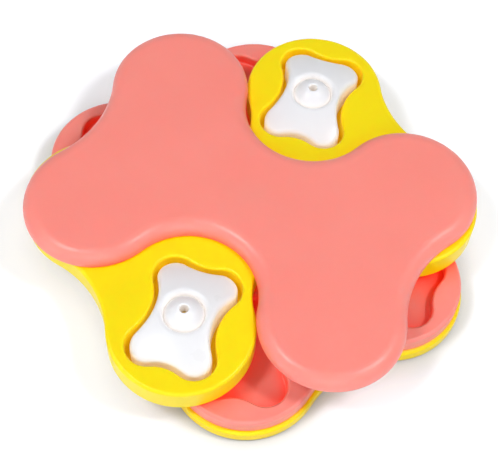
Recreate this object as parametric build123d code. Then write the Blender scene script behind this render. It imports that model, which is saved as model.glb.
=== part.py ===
from build123d import *

import os
from math import cos, radians, sin, sqrt

# A dog's puzzle feeder. Four-lobed tiers are stacked on one upright spindle: a base that stands on rubber
# feet, two trays with bone-shaped treat pockets, and a closed lid. The trays turn without limit. Two loose
# bones cover opposite pockets of the upper tray and stand high enough to lock the lid between them.
# Millimetres, +Z up. The origin is on the spindle's axis, on the surface that the feet stand on.

# Outline that the tiers share: four round lobes joined by a shallow waist at each end and a deep notch at
# each side. An outline's long axis is +X before the tier is turned.
lobe_reach = 90.8          # spindle axis to the centre of a lobe
lobe_spread = 32.2         # degrees from the long axis to a lobe
lobe_radius = 41.7
waist_radius = 64.0        # hollow between the two lobes at one end
notch_reach = 34.7         # spindle axis to the hollow between the lobes at one side
base_lip = 2.0             # how far the base stands out past the tiers above it

# Heights, from the surface up
foot_height = 1.5
base_height = 8.4
lower_tray_height = 10.4
upper_tray_height = 16.4
lid_height = 9.2
tier_gap = 0.5             # running gap between tiers, filled at the spindle by a glide washer
cut_past = 1.0             # how far a cut runs past the face that it opens

# How each tier is turned about the spindle
base_turn = 123.3          # degrees from +X
lower_tray_turn = 123.3    # degrees
upper_tray_turn = 35.2     # degrees
lid_turn = 154.0           # degrees

# Moulded shells
wall = 2.2
floor_thickness = 1.6      # floor of a pocket
cover_thickness = 1.6      # underside cover of a tier
cover_fit = 0.15           # gap round a cover, inside the shell and round the hub
top_edge_round = 2.0       # outer top edge of the base and of the trays
bottom_edge_round = 0.7
lid_edge_round = 8.4       # big soft edge of the lid
inner_corner_round = 0.6

# Bones: four small lobes, joined by a shallow hollow at each end and a deeper one at each side
bone_spread = 30.8         # degrees from the bone's long axis to a lobe
bone_lobe_radius = 9.8
bone_end_radius = 25.0     # hollow at one end
bone_side_reach = 16.9     # middle of the bone to the hollow at one side
bone_wall = 2.0
bone_edge_round = 3.0
bone_foot_round = 0.5
bone_stand = 6.9           # how far a seated bone's crown would stand above the tray's top
crown_radius = 76.0        # of the ball that a bone's top is a part of
grip_radius = 11.6         # domed grip in the middle of a bone, and the well that it stands in
grip_rise = 8.4            # from the floor of the well to the top of the grip
well_depth = 5.4           # from the crown of the bone to the floor of the well
well_flare = 3.0           # rounded mouth of the well
scent_hole_radius = 2.5
scent_hole_round = 0.7
scent_tube_wall = 1.6      # of the tube that hangs from the scent hole
scent_tube_length = 9.0

# Pockets: each is a bone's outline with room round it
pocket_clearance = 2.8
pocket_to_lobe = 2.9       # how much less far a pocket reaches from its middle than a lobe does
pocket_rim_round = 1.6
pocket_floor_round = 1.2
pocket_inset = 5.8         # how much nearer to the spindle a pocket's middle is than a lobe's centre
pocket_spread = 31.6       # degrees from the long axis to the middle of a pocket
pocket_turn = 40.0         # degrees from the long axis to the pocket's own long axis

# Spindle and what turns on it
spindle_radius = 6.0
running_clearance = 0.05
press_clearance = 0.02
bush_wall = 2.0
bush_flange = 2.5          # how far the flange stands out past the bush
bush_flange_thickness = 1.2
hub_wall = 5.0
spindle_socket_roof = 2.4  # lid material left above the spindle
washer_radius = 17.0
washer_clearance = 0.2
retainer_radius = 10.5
retainer_thickness = 1.0
retainer_clearance = 0.2
retainer_side_clearance = 0.6
retainer_cover_room = 0.4  # how far the spindle screw's head stays inside the base
spindle_screw_radius = 2.0
spindle_screw_head_radius = 4.0
spindle_screw_head_height = 1.5
spindle_screw_grip = 9.0   # length of thread inside the spindle

# Screws that hold the underside covers
screw_radius = 1.4
screw_head_radius = 2.8
screw_grip = 3.4           # length of thread inside a post
recess_share = 0.6         # reach of the cross recess, as a share of the head's radius
recess_width = 0.8
recess_depth = 0.7
post_radius = 3.4
post_to_pocket = 5.8       # clear room between the waist of a pocket's wall and the post beside it
post_to_waist = 8.2        # clear room between a tier's side wall and the post at each end

# Rubber feet
foot_radius = 9.0
foot_inset = 36.5          # from the tip of a lobe in to the centre of a foot
foot_spread = 36.0         # degrees from the long axis to a foot
foot_plug_radius = 4.0
foot_round = 0.6

base_floor = foot_height
lower_tray_floor = base_floor + base_height + tier_gap
upper_tray_floor = lower_tray_floor + lower_tray_height + tier_gap
lid_floor = upper_tray_floor + upper_tray_height + tier_gap
bush_radius = spindle_radius + running_clearance + bush_wall
hub_radius = bush_radius + hub_wall
pocket_seat = cover_thickness + floor_thickness
retainer_room = retainer_cover_room + spindle_screw_head_height + retainer_thickness + retainer_clearance
bone_height = upper_tray_height - pocket_seat + bone_stand

pocket_reach = lobe_reach - pocket_inset
bone_reach = lobe_radius - pocket_to_lobe - pocket_clearance - bone_lobe_radius
lobe_post_offset = bone_side_reach + pocket_clearance + wall + post_to_pocket + post_radius
foot_reach = lobe_reach + lobe_radius - foot_inset

tier_outline = (lobe_reach, lobe_spread, lobe_radius, waist_radius, notch_reach)
bone_outline = (bone_reach, bone_spread, bone_lobe_radius, bone_end_radius, bone_side_reach)


def beyond(start, towards, distance):
    """The point at a distance from start, on the way towards another point."""
    dx, dy = towards[0] - start[0], towards[1] - start[1]
    length = sqrt(dx * dx + dy * dy)
    return (start[0] + dx / length * distance, start[1] + dy / length * distance)


def lobe_centre(outline):
    reach, spread, *_ = outline
    return reach * cos(radians(spread)), reach * sin(radians(spread))


def end_hollow(outline):
    """How far from the middle the centre of an end's hollow lies: its arc meets both lobes."""
    _, _, lobe, radius, _ = outline
    lobe_x, lobe_y = lobe_centre(outline)
    return lobe_x + sqrt((lobe + radius) ** 2 - lobe_y ** 2)


def side_hollow(outline):
    """The same for a side's hollow, which is given by how near it comes to the middle."""
    _, _, lobe, _, side_reach = outline
    lobe_x, lobe_y = lobe_centre(outline)
    past = side_reach - lobe_y
    return side_reach + (lobe_x ** 2 + past ** 2 - lobe ** 2) / (2 * (lobe - past))


def four_lobes(outline, grow=0.0):
    """A flat face with four lobes, made of tangent arcs, its long axis along X."""
    _, _, lobe, end_radius, side_reach = outline
    lobe_x, lobe_y = lobe_centre(outline)
    end_centre = (end_hollow(outline), 0)
    side_centre = (0, side_hollow(outline))
    radius = lobe + grow
    end_tangent = beyond((lobe_x, lobe_y), end_centre, radius)
    side_tangent = beyond((lobe_x, lobe_y), side_centre, radius)
    lobe_tip = beyond((lobe_x, lobe_y), (2 * lobe_x, 2 * lobe_y), radius)
    end_middle = end_centre[0] - end_radius + grow
    side_middle = side_reach + grow
    arcs = []
    for mx, my in ((1, 1), (-1, 1), (-1, -1), (1, -1)):
        points = [(x * mx, y * my) for x, y in (end_tangent, lobe_tip, side_tangent)]
        arcs.append(ThreePointArc(*points))
    for sign in (1, -1):
        ends = [(sign * end_tangent[0], y * end_tangent[1]) for y in (-1, 1)]
        arcs.append(ThreePointArc(ends[0], (sign * end_middle, 0), ends[1]))
        sides = [(x * side_tangent[0], sign * side_tangent[1]) for x in (-1, 1)]
        arcs.append(ThreePointArc(sides[0], (0, sign * side_middle), sides[1]))
    return make_face(arcs)


def slab(outline, grow, bottom, top):
    return Pos(0, 0, bottom) * extrude(four_lobes(outline, grow), amount=top - bottom)


def rod(radius, bottom, top):
    return Pos(0, 0, (bottom + top) / 2) * Cylinder(radius, top - bottom)


def tube(radius, bore, bottom, top):
    return rod(radius, bottom, top) - rod(bore, bottom, top)


def round_top(part, radius):
    return fillet(part.edges().group_by(Axis.Z)[-1], radius)


def round_bottom(part, radius):
    return fillet(part.edges().group_by(Axis.Z)[0], radius)


def pocket_places():
    """Where a tier's four pockets lie, before the tier is turned."""
    places = []
    for end in (0, 180):
        for side in (1, -1):
            middle = Rot(0, 0, end + side * pocket_spread) * Pos(pocket_reach, 0, 0)
            own_turn = side * (pocket_turn - pocket_spread)
            places.append(middle * Rot(0, 0, own_turn))
    return places


def post_places():
    """Where a tier's screw posts stand: one beside each pocket and one at each end of the long axis."""
    sides = (1, -1, 1, -1)
    offset = lobe_post_offset
    beside = [place * Pos(0, offset * side, 0) for place, side in zip(pocket_places(), sides)]
    waist_reach = end_hollow(tier_outline) - waist_radius
    end_reach = waist_reach - wall - post_to_waist - post_radius
    return beside + [Pos(end_reach * sign, 0, 0) for sign in (1, -1)]


def outer_form(height, grow, top_round):
    form = slab(tier_outline, grow, 0, height)
    form = round_top(form, top_round)
    return round_bottom(form, bottom_edge_round)


def inner_form(height, grow, top_round):
    """The hollow inside a shell, open at the bottom."""
    form = slab(tier_outline, grow - wall, 0, height - wall)
    return round_top(form, max(top_round - wall, inner_corner_round))


def pocket_cavity(height):
    cavity = slab(bone_outline, pocket_clearance, pocket_seat, height + cut_past)
    return round_bottom(cavity, pocket_floor_round)


def cut_pockets(shell, height):
    """Sinks the four pockets into a shell and rounds their rims."""
    cavities = [place * pocket_cavity(height) for place in pocket_places()]
    sunk = shell - cavities
    rims = new_edges(shell, *cavities, combined=sunk).group_by(Axis.Z)[-1]
    return fillet(rims, pocket_rim_round)


def hub_and_posts(roof):
    """The solid hub and the screw posts inside a shell, up into its roof."""
    posts = [place * rod(post_radius, cover_thickness, roof) for place in post_places()]
    return [rod(hub_radius, 0, roof)] + posts


def pilot_holes():
    reach = cover_thickness + screw_grip + cut_past
    return [place * rod(screw_radius + press_clearance, 0, reach) for place in post_places()]


def bush_bore(height, seat):
    """The hole for a tier's bush, its flange seated this far above the tier's underside."""
    bore = rod(bush_radius + press_clearance, -cut_past, height + cut_past)
    bore += rod(bush_radius + bush_flange + press_clearance, -cut_past, seat + bush_flange_thickness)
    if seat > 0:
        bore += rod(retainer_radius + retainer_side_clearance, -cut_past, seat)
    return bore


def tray_shell(height, grow=0.0, bush_seat=0.0):
    """The moulded upper shell of the base or of a tray, with its four pockets, hub and screw posts."""
    roof = height - wall / 2
    shell = outer_form(height, grow, top_edge_round) - inner_form(height, grow, top_edge_round)
    cup = slab(bone_outline, pocket_clearance + wall, cover_thickness, roof)
    shell += [place * cup for place in pocket_places()]
    shell += hub_and_posts(roof)
    shell = cut_pockets(shell, height)
    return shell - bush_bore(height, bush_seat) - pilot_holes()


def underside_cover(grow=0.0):
    """The flat cover that closes a shell from below, with a hole for the hub and countersunk screw holes."""
    cover = slab(tier_outline, grow - wall - cover_fit, 0, cover_thickness)
    cover -= rod(hub_radius + cover_fit, 0, cover_thickness)
    return cover - [place * screw_body(press_clearance) for place in post_places()]


def screw_body(fit=0.0):
    """A countersunk screw, its head flush with the cover. Grown by fit it is its own hole."""
    sink = screw_head_radius - screw_radius
    head = Cone(screw_head_radius + fit, screw_radius + fit, sink)
    shank = rod(screw_radius + fit, sink, cover_thickness + screw_grip)
    return Pos(0, 0, sink / 2) * head + shank


def cover_screws():
    return [place * (screw_body() - cross_recess()) for place in post_places()]


def cross_recess():
    arm = screw_head_radius * recess_share
    return Box(2 * arm, recess_width, 2 * recess_depth) + Box(recess_width, 2 * arm, 2 * recess_depth)


def bush(height, seat=0.0):
    """A flanged bush, pressed into a tier's hub from below."""
    bore = spindle_radius + running_clearance
    flange = tube(bush_radius + bush_flange, bore, seat, seat + bush_flange_thickness)
    return tube(bush_radius, bore, seat, height) + flange


def glide_washer():
    return tube(washer_radius, spindle_radius + washer_clearance, 0, tier_gap)


def lid_shell():
    """The closed lid: a pebble-shaped shell with a boss that grips the spindle."""
    roof = lid_height - wall / 2
    shell = outer_form(lid_height, 0, lid_edge_round) - inner_form(lid_height, 0, lid_edge_round)
    shell += hub_and_posts(roof)
    shell -= rod(spindle_radius + press_clearance, -cut_past, lid_height - spindle_socket_roof)
    return shell - pilot_holes()


def crowned_block(inset, bottom):
    """A bone's outline under a crowned top, shrunk by an inset, with the top edge rounded."""
    block = slab(bone_outline, -inset, bottom, bone_height)
    ball = Pos(0, 0, bone_height - crown_radius) * Rot(0, 90, 0) * Sphere(crown_radius - inset)
    crowned = block & ball
    return fillet(new_edges(block, ball, combined=crowned), bone_edge_round - inset)


def grip_well():
    """What is cut away round the grip: a round well whose mouth runs smoothly into the crown."""
    floor = bone_height - well_depth
    crown_centre = (0, bone_height - crown_radius)
    flare_x = grip_radius + well_flare
    flare_z = crown_centre[1] + sqrt((crown_radius - well_flare) ** 2 - flare_x ** 2)
    wall_head = (grip_radius, flare_z)
    mouth = beyond(crown_centre, (flare_x, flare_z), crown_radius)
    flare_middle = beyond((flare_x, flare_z), (grip_radius, mouth[1]), well_flare)
    ceiling = bone_height + cut_past
    walls = [
        Line((0, floor), (grip_radius, floor)),
        Line((grip_radius, floor), wall_head),
        ThreePointArc(wall_head, flare_middle, mouth),
        Line(mouth, (mouth[0], ceiling)),
        Line((mouth[0], ceiling), (0, ceiling)),
        Line((0, ceiling), (0, floor)),
    ]
    return revolve(Plane.XZ * make_face(walls), Axis.Z)


def bone_shell():
    """A loose bone: a hollow four-lobed cap with a crowned top and a domed grip that stands in a well."""
    well_floor = bone_height - well_depth
    grip_head = well_floor + grip_rise
    grip_curve = (grip_radius ** 2 + grip_rise ** 2) / (2 * grip_rise)
    grip_centre = grip_head - grip_curve
    cap = round_bottom(crowned_block(0, 0), bone_foot_round) - grip_well()
    hollow = crowned_block(bone_wall, -cut_past)
    hollow -= rod(grip_radius + bone_wall, well_floor - bone_wall, bone_height)
    grip = Pos(0, 0, grip_centre) * Sphere(grip_curve) & rod(grip_radius, well_floor, grip_head + cut_past)
    bone = cap - hollow + grip
    bone -= Pos(0, 0, grip_centre) * Sphere(grip_curve - bone_wall)
    tube_foot = grip_head - scent_tube_length
    bone += rod(scent_hole_radius + scent_tube_wall, tube_foot, grip_head - bone_wall)
    bone -= rod(scent_hole_radius, tube_foot, grip_head + cut_past)
    rim = bone.edges().filter_by(GeomType.CIRCLE).group_by(Axis.Z)[-1]
    return fillet(rim, scent_hole_round)


def rubber_foot():
    """A round foot with a plug that passes through the base's cover."""
    pad = round_bottom(rod(foot_radius, 0, foot_height), foot_round)
    return pad + rod(foot_plug_radius, 0, foot_height + cover_thickness)


def foot_places():
    turns = [end + side * foot_spread for end in (0, 180) for side in (1, -1)]
    return [Rot(0, 0, turn) * Pos(foot_reach, 0, 0) for turn in turns]


def base_cover():
    """The base's cover, with holes for the plugs of the feet."""
    plug_hole = rod(foot_plug_radius + press_clearance, 0, cover_thickness)
    return underside_cover(base_lip) - [place * plug_hole for place in foot_places()]


def spindle():
    """The upright pin that all the tiers turn on, drilled from below for its screw."""
    foot = base_floor + retainer_room - retainer_clearance
    head = lid_floor + lid_height - spindle_socket_roof
    drilling = rod(spindle_screw_radius + press_clearance, foot, foot + spindle_screw_grip + cut_past)
    return rod(spindle_radius, foot, head) - drilling


def retaining_washer():
    top = base_floor + retainer_room - retainer_clearance
    return tube(retainer_radius, spindle_screw_radius + washer_clearance, top - retainer_thickness, top)


def spindle_screw():
    """The screw that holds the retaining washer against the foot of the spindle."""
    seat = base_floor + retainer_cover_room + spindle_screw_head_height
    head = rod(spindle_screw_head_radius, seat - spindle_screw_head_height, seat)
    head -= Pos(0, 0, seat - spindle_screw_head_height) * cross_recess()
    return head + rod(spindle_screw_radius, seat, seat + retainer_thickness + spindle_screw_grip)


def place_tier(piece, floor, turn):
    return Pos(0, 0, floor) * Rot(0, 0, turn) * piece


def base_pieces():
    pieces = {
        "base_shell": tray_shell(base_height, base_lip, retainer_room),
        "base_cover": base_cover(),
        "base_screws": Compound(cover_screws()),
        "base_bush": bush(base_height, retainer_room),
        "base_glide_washer": Pos(0, 0, base_height) * glide_washer(),
    }
    for number, place in enumerate(foot_places(), start=1):
        pieces[f"foot_{number}"] = Pos(0, 0, -foot_height) * place * rubber_foot()
    return {name: place_tier(piece, base_floor, base_turn) for name, piece in pieces.items()}


def tray_pieces(tray, height, floor, turn):
    pieces = {
        f"{tray}_shell": tray_shell(height),
        f"{tray}_cover": underside_cover(),
        f"{tray}_screws": Compound(cover_screws()),
        f"{tray}_bush": bush(height),
        f"{tray}_glide_washer": Pos(0, 0, height) * glide_washer(),
    }
    return {name: place_tier(piece, floor, turn) for name, piece in pieces.items()}


def lid_pieces():
    tier = {"lid_shell": lid_shell(), "lid_cover": underside_cover(), "lid_screws": Compound(cover_screws())}
    pieces = {name: place_tier(piece, lid_floor, lid_turn) for name, piece in tier.items()}
    pieces["spindle"] = spindle()
    pieces["retaining_washer"] = retaining_washer()
    pieces["spindle_screw"] = spindle_screw()
    return pieces


def bone_pieces():
    """A bone in two opposite pockets of the upper tray, seated on the pockets' floors."""
    ends = pocket_places()[::2]
    seated = [place * Pos(0, 0, pocket_seat) * bone_shell() for place in ends]
    return {
        f"bone_{number}": place_tier(bone, upper_tray_floor, upper_tray_turn)
        for number, bone in enumerate(seated, start=1)
    }


toy = base_pieces()
toy |= tray_pieces("lower_tray", lower_tray_height, lower_tray_floor, lower_tray_turn)
toy |= tray_pieces("upper_tray", upper_tray_height, upper_tray_floor, upper_tray_turn)
toy |= lid_pieces()
toy |= bone_pieces()

os.makedirs("parts", exist_ok=True)
for name, piece in toy.items():
    piece.label = name
    export_step(piece, f"parts/{name}.step")
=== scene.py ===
import math

import bpy
from mathutils import Matrix, Vector

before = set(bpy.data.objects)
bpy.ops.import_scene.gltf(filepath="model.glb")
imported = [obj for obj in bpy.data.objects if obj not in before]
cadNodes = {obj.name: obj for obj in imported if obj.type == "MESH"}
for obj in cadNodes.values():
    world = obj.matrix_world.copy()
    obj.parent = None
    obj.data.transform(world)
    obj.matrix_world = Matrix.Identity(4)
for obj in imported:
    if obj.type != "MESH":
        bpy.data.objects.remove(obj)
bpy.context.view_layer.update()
print("packed toy loaded:", len(cadNodes), "nodes")

# The camera looks down steeply from the near side, a little tilted.
cameraSetup = {
    "elevation": 59.218,            # degrees above the table
    "roll": 3.284,                  # degrees
    "distance": 0.7281,             # metres from the aim point
    "aim": (0.0001, -0.0010, 0.0),
    "lens": 85.76,                  # millimetres, as is the sensor
    "sensorWidth": 36.0,
    "nearest": 0.01,                # metres: nothing closer is drawn
}


def placeCamera(setup):
    elevation = math.radians(setup["elevation"])
    roll = math.radians(setup["roll"])
    back = Vector((0.0, -math.cos(elevation), math.sin(elevation)))
    flatRight = Vector((1.0, 0.0, 0.0))
    flatUp = back.cross(flatRight)
    right = flatRight * math.cos(roll) + flatUp * math.sin(roll)
    up = flatUp * math.cos(roll) - flatRight * math.sin(roll)
    data = bpy.data.cameras.new("viewCamera")
    data.lens = setup["lens"]
    data.sensor_width = setup["sensorWidth"]
    data.clip_start = setup["nearest"]
    camera = bpy.data.objects.new("viewCamera", data)
    turn = Matrix((right, up, back)).transposed().to_4x4()
    place = Vector(setup["aim"]) + back * setup["distance"]
    camera.matrix_world = Matrix.Translation(place) @ turn
    bpy.context.scene.collection.objects.link(camera)
    bpy.context.scene.camera = camera


placeCamera(cameraSetup)
bpy.context.scene.view_settings.view_transform = "Standard"
print("camera placed")


def blankTree(owner):
    owner.use_nodes = True
    owner.node_tree.nodes.clear()
    return owner.node_tree.nodes, owner.node_tree.links


# 1 for the rays that should meet plain white: the camera's own, mirrored ones
# and ones that come through something clear.
def whiteRays(nodes, links):
    rays = nodes.new("ShaderNodeLightPath")
    total = rays.outputs["Is Camera Ray"]
    for kind in ("Is Glossy Ray", "Is Transmission Ray"):
        either = nodes.new("ShaderNodeMath")
        either.operation = "MAXIMUM"
        links.new(total, either.inputs[0])
        links.new(rays.outputs[kind], either.inputs[1])
        total = either.outputs[0]
    return total


# A white table that takes the toy's shadow from the lamps and painted shade round its foot, and turns
# plain white further out. Lengths are in metres.
tableSetup = {
    "size": 8.0,
    "color": (0.78, 0.80, 0.84),
    "glow": 0.31,                   # for the white rays alone
    "shadeReach": 0.024,            # how far out the painted shade darkens the table round the toy's foot
    "shade": 0.46,                  # what is left of the table's colour right beside the toy
    "shadeFullAt": 0.4,             # the openness at which the shade is full
    "whiteFrom": 0.35,              # distance from the spindle
    "whiteBy": 0.80,
    "farWhite": 1.0,
}


def makeTable(setup):
    half = setup["size"] / 2
    corners = [(-half, -half, 0), (half, -half, 0), (half, half, 0), (-half, half, 0)]
    mesh = bpy.data.meshes.new("tableTop")
    mesh.from_pydata(corners, [], [(0, 1, 2, 3)])
    top = bpy.data.objects.new("tableTop", mesh)
    bpy.context.scene.collection.objects.link(top)
    material = bpy.data.materials.new("whiteTable")
    nodes, links = blankTree(material)

    # Painted shade beside the toy, from the nearness of its walls, on the table's colour and on its glow.
    beside = nodes.new("ShaderNodeAmbientOcclusion")
    beside.inputs["Distance"].default_value = setup["shadeReach"]
    shade = nodes.new("ShaderNodeMapRange")
    shade.inputs["From Min"].default_value = setup["shadeFullAt"]
    shade.inputs["To Min"].default_value = setup["shade"]
    links.new(beside.outputs["AO"], shade.inputs["Value"])
    tint = nodes.new("ShaderNodeVectorMath")
    tint.operation = "SCALE"
    tint.inputs[0].default_value = setup["color"]
    links.new(shade.outputs[0], tint.inputs["Scale"])
    paper = nodes.new("ShaderNodeBsdfDiffuse")
    links.new(tint.outputs[0], paper.inputs["Color"])
    dim = nodes.new("ShaderNodeMath")
    dim.operation = "MULTIPLY"
    dim.inputs[1].default_value = setup["glow"]
    links.new(shade.outputs[0], dim.inputs[0])
    glow = nodes.new("ShaderNodeEmission")
    links.new(dim.outputs[0], glow.inputs["Strength"])
    lit = nodes.new("ShaderNodeAddShader")
    links.new(paper.outputs[0], lit.inputs[0])
    links.new(glow.outputs[0], lit.inputs[1])

    # Further out it fades to plain white.
    coords = nodes.new("ShaderNodeTexCoord")
    distance = nodes.new("ShaderNodeVectorMath")
    distance.operation = "LENGTH"
    links.new(coords.outputs["Object"], distance.inputs[0])
    fade = nodes.new("ShaderNodeMapRange")
    fade.inputs["From Min"].default_value = setup["whiteFrom"]
    fade.inputs["From Max"].default_value = setup["whiteBy"]
    links.new(distance.outputs["Value"], fade.inputs["Value"])
    white = nodes.new("ShaderNodeEmission")
    white.inputs["Strength"].default_value = setup["farWhite"]
    seen = nodes.new("ShaderNodeMixShader")
    links.new(fade.outputs[0], seen.inputs[0])
    links.new(lit.outputs[0], seen.inputs[1])
    links.new(white.outputs[0], seen.inputs[2])

    pick = nodes.new("ShaderNodeMixShader")
    links.new(whiteRays(nodes, links), pick.inputs[0])
    links.new(paper.outputs[0], pick.inputs[1])
    links.new(seen.outputs[0], pick.inputs[2])
    out = nodes.new("ShaderNodeOutputMaterial")
    links.new(pick.outputs[0], out.inputs["Surface"])
    mesh.materials.append(material)


makeTable(tableSetup)
print("table laid")

# The room lights the toy more from its walls than from above, and the white rays see it plain white.
roomSetup = {
    "wallLight": 1.00,              # at the height of the table
    "ceilingLight": 0.14,
    "ceilingFrom": 0.5,             # how steeply up the ceiling's light begins: 0 is level, 1 is overhead
    "seenWhite": 1.0,
}


def makeRoom(setup):
    world = bpy.data.worlds.new("whiteRoom")
    bpy.context.scene.world = world
    nodes, links = blankTree(world)
    coords = nodes.new("ShaderNodeTexCoord")
    direction = nodes.new("ShaderNodeSeparateXYZ")
    links.new(coords.outputs["Generated"], direction.inputs[0])
    fade = nodes.new("ShaderNodeMapRange")
    fade.inputs["From Min"].default_value = 0.0
    fade.inputs["From Max"].default_value = setup["ceilingFrom"]
    fade.inputs["To Min"].default_value = setup["wallLight"]
    fade.inputs["To Max"].default_value = setup["ceilingLight"]
    links.new(direction.outputs["Z"], fade.inputs["Value"])
    light = nodes.new("ShaderNodeBackground")
    links.new(fade.outputs[0], light.inputs["Strength"])
    white = nodes.new("ShaderNodeBackground")
    white.inputs["Strength"].default_value = setup["seenWhite"]
    pick = nodes.new("ShaderNodeMixShader")
    links.new(whiteRays(nodes, links), pick.inputs[0])
    links.new(light.outputs[0], pick.inputs[1])
    links.new(white.outputs[0], pick.inputs[2])
    out = nodes.new("ShaderNodeOutputWorld")
    links.new(pick.outputs[0], out.inputs["Surface"])


makeRoom(roomSetup)
print("white room made")

# Soft round lamps: place and size in metres, power in watts. All aim at the middle of the toy.
lamps = {
    "rightSoftbox": {"place": (0.83, -0.16, 1.36), "size": 0.32, "power": 12.3},
    "leftSoftbox": {"place": (-0.70, -0.30, 1.42), "size": 0.32, "power": 10.6},
    "nearFill": {"place": (0.10, -1.50, 0.85), "size": 1.10, "power": 10.8},
    "lowFill": {"place": (-1.30, -0.80, 0.24), "size": 0.70, "power": 4.5},
}
lampAim = Vector((0.0, 0.0, 0.02))


def makeLamp(name, setup):
    data = bpy.data.lights.new(name, "AREA")
    data.shape = "DISK"
    data.size = setup["size"]
    data.energy = setup["power"]
    lamp = bpy.data.objects.new(name, data)
    lamp.location = setup["place"]
    lamp.rotation_mode = "QUATERNION"
    lamp.rotation_quaternion = (lampAim - Vector(setup["place"])).to_track_quat("-Z", "Y")
    bpy.context.scene.collection.objects.link(lamp)


for lampName, lampSetup in lamps.items():
    makeLamp(lampName, lampSetup)
print("lamps hung:", len(lamps))


def noise(nodes, links, coords, pattern):
    texture = nodes.new("ShaderNodeTexNoise")
    texture.inputs["Scale"].default_value = pattern["scale"]
    texture.inputs["Detail"].default_value = pattern["detail"]
    links.new(coords.outputs["Object"], texture.inputs["Vector"])
    return texture


usualNoise = (0.3, 0.7)             # noise seldom leaves this range


def spread(nodes, links, texture, low, high):
    ranged = nodes.new("ShaderNodeMapRange")
    ranged.inputs["From Min"].default_value, ranged.inputs["From Max"].default_value = usualNoise
    ranged.inputs["To Min"].default_value = low
    ranged.inputs["To Max"].default_value = high
    links.new(texture.outputs["Fac"], ranged.inputs["Value"])
    return ranged.outputs[0]


def colorBlend(nodes, links, amount, first):
    blend = nodes.new("ShaderNodeMix")
    blend.data_type = "RGBA"
    blend.inputs["A"].default_value = (*first, 1)
    links.new(amount, blend.inputs["Factor"])
    return blend


# The finish's colour, with slow drifts to a second shade.
def driftingColor(nodes, links, texture, look):
    blend = colorBlend(nodes, links, spread(nodes, links, texture, 0.0, 1.0), look["color"])
    blend.inputs["B"].default_value = (*look["drift"], 1)
    return blend.outputs["Result"]


def unevenGloss(nodes, links, texture, look, shader, uneven):
    smoothest = look["roughness"] - uneven["smoother"]
    roughest = look["roughness"] + uneven["rougher"]
    links.new(spread(nodes, links, texture, smoothest, roughest), shader.inputs["Roughness"])


bumpDepth = 0.0003                  # metres


def fineBump(nodes, links, texture, strength, shader):
    bump = nodes.new("ShaderNodeBump")
    bump.inputs["Strength"].default_value = strength
    bump.inputs["Distance"].default_value = bumpDepth
    links.new(texture.outputs["Fac"], bump.inputs["Height"])
    links.new(bump.outputs["Normal"], shader.inputs["Normal"])


# The three moulded plastics. Deep in gaps and pockets the base colour turns to a painted bounce colour,
# painted light for the light that bounces between walls of one colour, and the plastic gets a painted
# glow there for the light that comes through the walls.
plastics = {
    "yellowPlastic": {
        "color": (0.845, 0.672, 0.003), "drift": (0.835, 0.652, 0.002), "paintedBounceColor": (0.92, 0.60, 0.001),
        "roughness": 0.33, "shine": 0.22, "grain": 0.05,
        "milky": 0.5, "milkyDepth": 0.006, "milkyReach": (1.0, 0.55, 0.05),
        "paintedGapGlow": (1.0, 0.58, 0.001), "paintedGapGlowStrength": 0.10,
    },
    "coralPlastic": {
        "color": (0.822, 0.248, 0.210), "drift": (0.808, 0.237, 0.199), "paintedBounceColor": (1.0, 0.07, 0.035),
        "roughness": 0.36, "shine": 0.42, "grain": 0.05,
        "milky": 0.5, "milkyDepth": 0.006, "milkyReach": (1.0, 0.22, 0.14),
        "paintedGapGlow": (1.0, 0.03, 0.01), "paintedGapGlowStrength": 0.13,
    },
    "whitePlastic": {
        "color": (0.755, 0.765, 0.80), "drift": (0.725, 0.735, 0.775), "paintedBounceColor": (0.85, 0.82, 0.80),
        "roughness": 0.30, "shine": 0.36, "grain": 0.03,
        "milky": 0.4, "milkyDepth": 0.006, "milkyReach": (1.0, 0.95, 0.9),
        "paintedGapGlow": (1.0, 0.90, 0.85), "paintedGapGlowStrength": 0.12,
    },
}

# What the mould gives to all three, and how far the painted bounce colour and painted glow reach into
# gaps.
mouldingAndPaintedShade = {
    "clouds": {"scale": 22.0, "detail": 3.0},       # drifts of the colour
    "smears": {"scale": 55.0, "detail": 4.0},       # uneven gloss
    "grain": {"scale": 1600.0, "detail": 2.0},
    "smoother": 0.03, "rougher": 0.05,              # off the roughness, and onto it
    "wallReach": 0.016,                             # metres: walls as near as this bring painted bounce colour and painted glow to a spot
    "wallSamples": 8,
    "shut": 0.35, "open": 0.95,                     # openness deep in a gap, and in the open
}


# How open a spot is: 0 deep in a gap or a pocket, 1 in the open. It places the painted bounce colour and
# painted glow.
def openness(nodes, links, setup):
    nearWalls = nodes.new("ShaderNodeAmbientOcclusion")
    nearWalls.samples = setup["wallSamples"]
    nearWalls.inputs["Distance"].default_value = setup["wallReach"]
    ranged = nodes.new("ShaderNodeMapRange")
    ranged.inputs["From Min"].default_value = setup["shut"]
    ranged.inputs["From Max"].default_value = setup["open"]
    links.new(nearWalls.outputs["AO"], ranged.inputs["Value"])
    return ranged.outputs[0]


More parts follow.
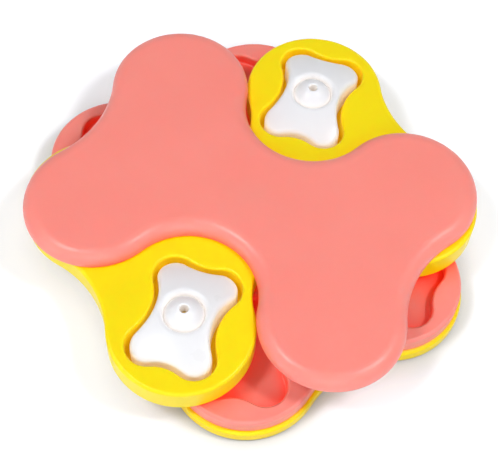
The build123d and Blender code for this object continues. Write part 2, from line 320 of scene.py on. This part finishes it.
def mouldedPlastic(name, look):
    material = bpy.data.materials.new(name)
    nodes, links = blankTree(material)
    shader = nodes.new("ShaderNodeBsdfPrincipled")
    coords = nodes.new("ShaderNodeTexCoord")
    howOpen = openness(nodes, links, mouldingAndPaintedShade)

    clouds = noise(nodes, links, coords, mouldingAndPaintedShade["clouds"])
    # Painted bounce light: deep in gaps the base colour turns to the painted bounce colour.
    paintedBounceBlend = colorBlend(nodes, links, howOpen, look["paintedBounceColor"])
    links.new(driftingColor(nodes, links, clouds, look), paintedBounceBlend.inputs["B"])
    links.new(paintedBounceBlend.outputs["Result"], shader.inputs["Base Color"])

    # Painted glow deep in gaps, for light coming through the walls; the plastic is no lamp.
    paintedGapGlow = nodes.new("ShaderNodeMapRange")
    paintedGapGlow.inputs["To Min"].default_value = look["paintedGapGlowStrength"]
    paintedGapGlow.inputs["To Max"].default_value = 0.0
    links.new(howOpen, paintedGapGlow.inputs["Value"])
    links.new(paintedGapGlow.outputs[0], shader.inputs["Emission Strength"])
    shader.inputs["Emission Color"].default_value = (*look["paintedGapGlow"], 1)

    smears = noise(nodes, links, coords, mouldingAndPaintedShade["smears"])
    unevenGloss(nodes, links, smears, look, shader, mouldingAndPaintedShade)
    fineBump(nodes, links, noise(nodes, links, coords, mouldingAndPaintedShade["grain"]), look["grain"], shader)
    shader.inputs["Specular IOR Level"].default_value = look["shine"]
    shader.inputs["Subsurface Weight"].default_value = look["milky"]
    shader.inputs["Subsurface Radius"].default_value = look["milkyReach"]
    shader.inputs["Subsurface Scale"].default_value = look["milkyDepth"]
    out = nodes.new("ShaderNodeOutputMaterial")
    links.new(shader.outputs[0], out.inputs["Surface"])
    return material


# Bushes and washers, feet, and the spindle with the screws.
smallParts = {
    "naturalNylon": {
        "color": (0.78, 0.75, 0.66), "drift": (0.70, 0.67, 0.57), "metallic": 0.0,
        "roughness": 0.48, "mottle": {"scale": 180.0, "detail": 4.0}, "bump": 0.06,
    },
    "greyRubber": {
        "color": (0.16, 0.16, 0.165), "drift": (0.11, 0.11, 0.115), "metallic": 0.0,
        "roughness": 0.78, "mottle": {"scale": 900.0, "detail": 4.0}, "bump": 0.25,
    },
    "platedSteel": {
        "color": (0.62, 0.62, 0.63), "drift": (0.50, 0.50, 0.52), "metallic": 1.0,
        "roughness": 0.28, "mottle": {"scale": 700.0, "detail": 4.0}, "bump": 0.05,
    },
}
smallPartWear = {"smoother": 0.05, "rougher": 0.08}


def smallPartFinish(name, look):
    material = bpy.data.materials.new(name)
    nodes, links = blankTree(material)
    shader = nodes.new("ShaderNodeBsdfPrincipled")
    coords = nodes.new("ShaderNodeTexCoord")
    mottle = noise(nodes, links, coords, look["mottle"])
    links.new(driftingColor(nodes, links, mottle, look), shader.inputs["Base Color"])
    unevenGloss(nodes, links, mottle, look, shader, smallPartWear)
    fineBump(nodes, links, mottle, look["bump"], shader)
    shader.inputs["Metallic"].default_value = look["metallic"]
    out = nodes.new("ShaderNodeOutputMaterial")
    links.new(shader.outputs[0], out.inputs["Surface"])
    return material


finishes = {name: mouldedPlastic(name, look) for name, look in plastics.items()}
finishes |= {name: smallPartFinish(name, look) for name, look in smallParts.items()}
print("finishes mixed:", ", ".join(finishes))

# The finish of each piece, by a word in its name. The first word that fits counts.
finishByWord = {
    "screw": "platedSteel",
    "spindle": "platedSteel",
    "retaining_washer": "platedSteel",
    "glide_washer": "naturalNylon",
    "bush": "naturalNylon",
    "foot": "greyRubber",
    "bone": "whitePlastic",
    "base": "yellowPlastic",
    "lower_tray": "coralPlastic",
    "upper_tray": "yellowPlastic",
    "lid": "coralPlastic",
}


def finishFor(nodeName):
    return next(finish for word, finish in finishByWord.items() if word in nodeName)


for nodeName, node in cadNodes.items():
    node.data.materials.clear()
    node.data.materials.append(finishes[finishFor(nodeName)])
print("finishes laid on", len(cadNodes), "pieces")
